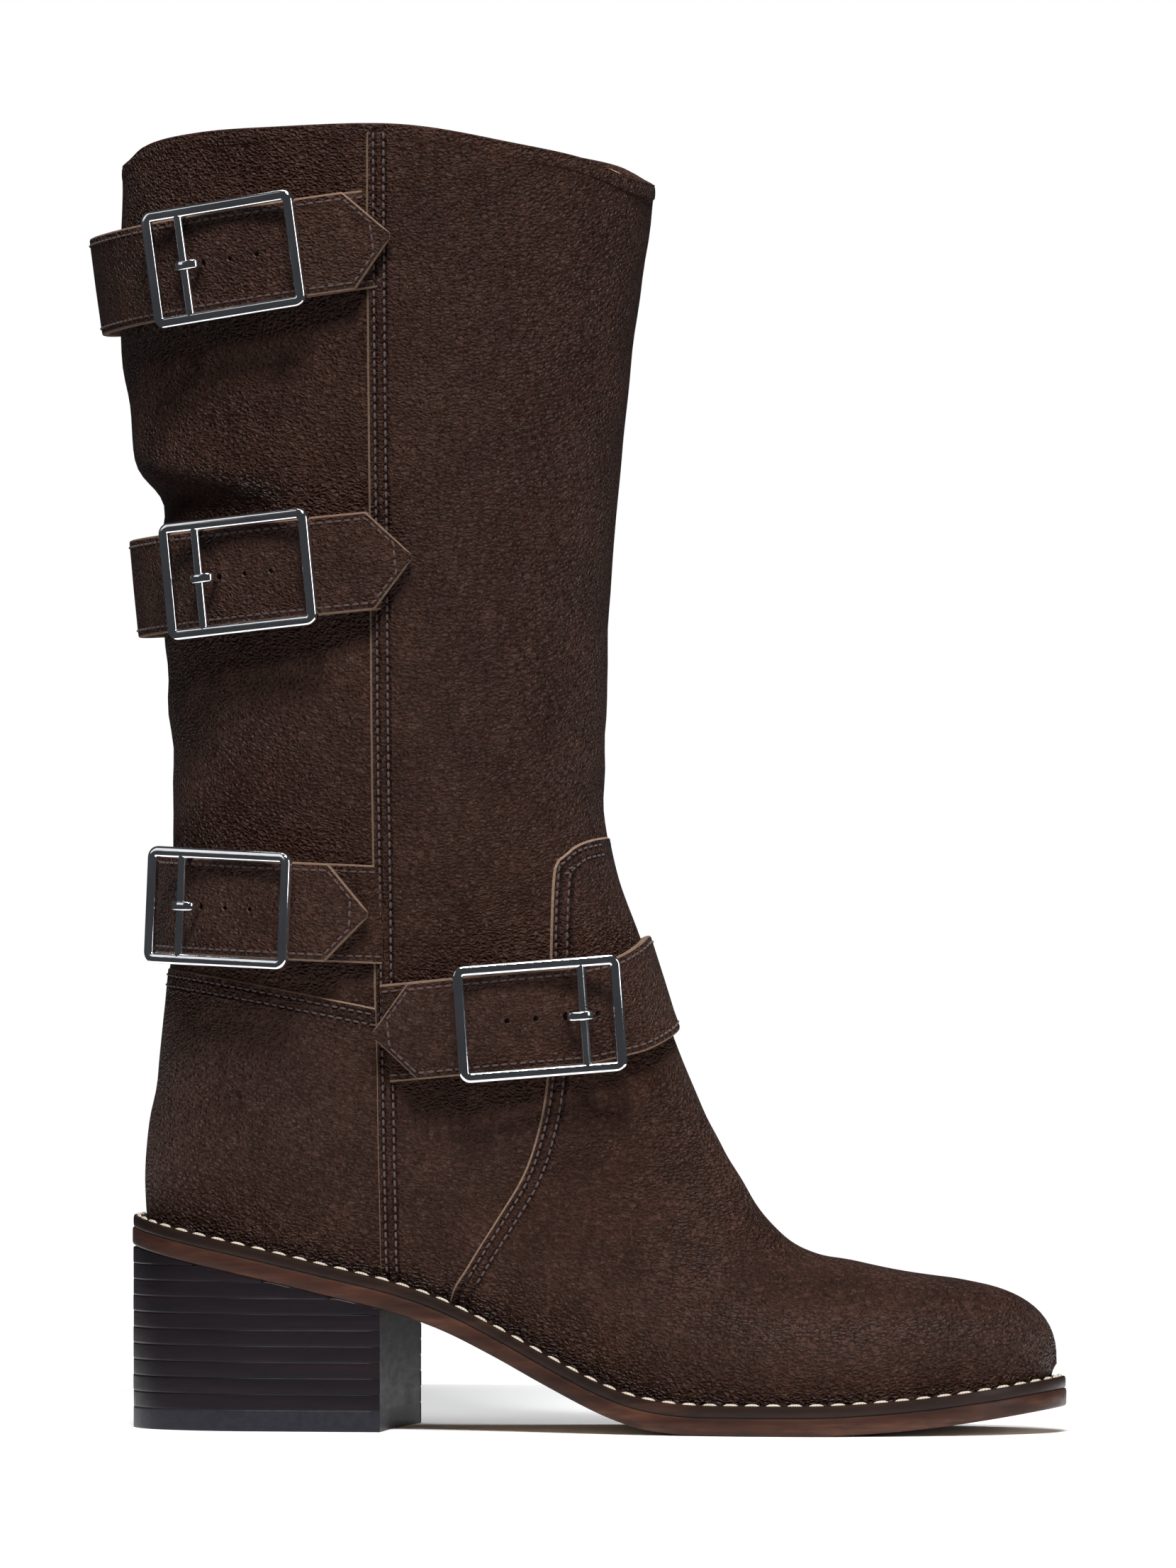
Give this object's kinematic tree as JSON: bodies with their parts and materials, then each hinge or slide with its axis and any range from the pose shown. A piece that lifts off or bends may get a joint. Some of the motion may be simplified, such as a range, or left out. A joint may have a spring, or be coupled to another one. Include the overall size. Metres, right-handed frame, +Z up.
{
  "type": "riding boot",
  "caption": "Right mid-calf riding boot with four buckled straps, a stitched welt and a block heel of stacked leather lifts.",
  "frame": {"origin": "middle of the heel's bottom face, on the ground", "axes": "+X towards the toe, -Y to the outer side of the leg, +Z up"},
  "size_m": [0.2773, 0.11, 0.3664],
  "materials": {
    "brown_leather": "pebbled dark brown leather, semi-matte",
    "strap_leather": "pebbled dark brown strap leather with lighter raw edges",
    "lining_leather": "smooth tan lining leather",
    "welt_leather": "burnished dark brown welt leather",
    "outsole_leather": "oak brown sole leather with a finished edge",
    "stacked_leather": "stacked leather lifts, dark polished edge with fine lift lines",
    "hard_rubber": "hard black rubber, satin",
    "welt_thread": "waxed cream linen thread",
    "cork": "granulated cork filler",
    "shank_steel": "tempered spring steel",
    "nail_steel": "plain steel",
    "insole_board": "vegetable tanned insole leather",
    "stiffener": "pressed leatherboard stiffener",
    "backer_cloth": "woven cotton backer",
    "buckle_metal": "bright nickel plate"
  },
  "bodies": {
    "root": {"heel_top_lift": "hard_rubber", "heel_lift_01": "stacked_leather", "heel_lift_02": "stacked_leather", "heel_lift_03": "stacked_leather", "heel_lift_04": "stacked_leather", "heel_lift_05": "stacked_leather", "heel_lift_06": "stacked_leather", "heel_lift_07": "stacked_leather", "heel_lift_08": "stacked_leather", "heel_lift_09": "stacked_leather", "heel_lift_10": "stacked_leather", "heel_nails": "nail_steel", "outsole": "outsole_leather", "welt": "welt_leather", "welt_stitching": "welt_thread", "cork_filler": "cork", "shank": "shank_steel", "insole_board": "insole_board", "sock_liner": "lining_leather", "vamp": "brown_leather", "shaft_front": "brown_leather", "shaft_back_outer": "brown_leather", "shaft_back_inner": "brown_leather", "heel_panel": "brown_leather", "toe_puff": "stiffener", "heel_counter": "stiffener", "shaft_backer": "backer_cloth", "lining": "lining_leather", "strap_1": "strap_leather", "strap_2": "strap_leather", "strap_3": "strap_leather", "strap_4": "strap_leather", "strap_anchor_1": "strap_leather", "strap_anchor_2": "strap_leather", "strap_anchor_3": "strap_leather", "strap_anchor_4": "strap_leather"},
    "frame_1": {"buckle_frame_1": "buckle_metal"},
    "prong_1": {"buckle_prong_1": "buckle_metal"},
    "frame_2": {"buckle_frame_2": "buckle_metal"},
    "prong_2": {"buckle_prong_2": "buckle_metal"},
    "frame_3": {"buckle_frame_3": "buckle_metal"},
    "prong_3": {"buckle_prong_3": "buckle_metal"},
    "frame_4": {"buckle_frame_4": "buckle_metal"},
    "prong_4": {"buckle_prong_4": "buckle_metal"}
  },
  "joints": [
    {"name": "buckle_frame_1_tilt", "type": "hinge", "parent": "root", "child": "frame_1", "pos_m": [-0.01184, -0.04054, 0.32756], "axis": [0.1367, 0, -0.9906], "range_deg": [0, 6]},
    {"name": "buckle_prong_1_swing", "type": "hinge", "parent": "frame_1", "child": "prong_1", "pos_m": [-0.01414, -0.04933, 0.32725], "axis": [0.1367, 0, -0.9906], "range_deg": [0, 110]},
    {"name": "buckle_frame_2_tilt", "type": "hinge", "parent": "root", "child": "frame_2", "pos_m": [-0.00822, -0.03554, 0.23989], "axis": [0.0975, 0, -0.9952], "range_deg": [0, 6]},
    {"name": "buckle_prong_2_swing", "type": "hinge", "parent": "frame_2", "child": "prong_2", "pos_m": [-0.01087, -0.04424, 0.23963], "axis": [0.0975, 0, -0.9952], "range_deg": [0, 110]},
    {"name": "buckle_frame_3_tilt", "type": "hinge", "parent": "root", "child": "frame_3", "pos_m": [-0.0146, -0.02703, 0.14761], "axis": [-0.042, 0, -0.9991], "range_deg": [0, 6]},
    {"name": "buckle_prong_3_swing", "type": "hinge", "parent": "frame_3", "child": "prong_3", "pos_m": [-0.01795, -0.03549, 0.14775], "axis": [-0.042, 0, -0.9991], "range_deg": [0, 110]},
    {"name": "buckle_frame_4_tilt", "type": "hinge", "parent": "root", "child": "frame_4", "pos_m": [0.09424, -0.02559, 0.11755], "axis": [-0.0621, -0.0561, 0.9965], "range_deg": [0, 6]},
    {"name": "buckle_prong_4_swing", "type": "hinge", "parent": "frame_4", "child": "prong_4", "pos_m": [0.09685, -0.0343, 0.11722], "axis": [-0.0621, -0.0561, 0.9965], "range_deg": [0, 110]}
  ]
}
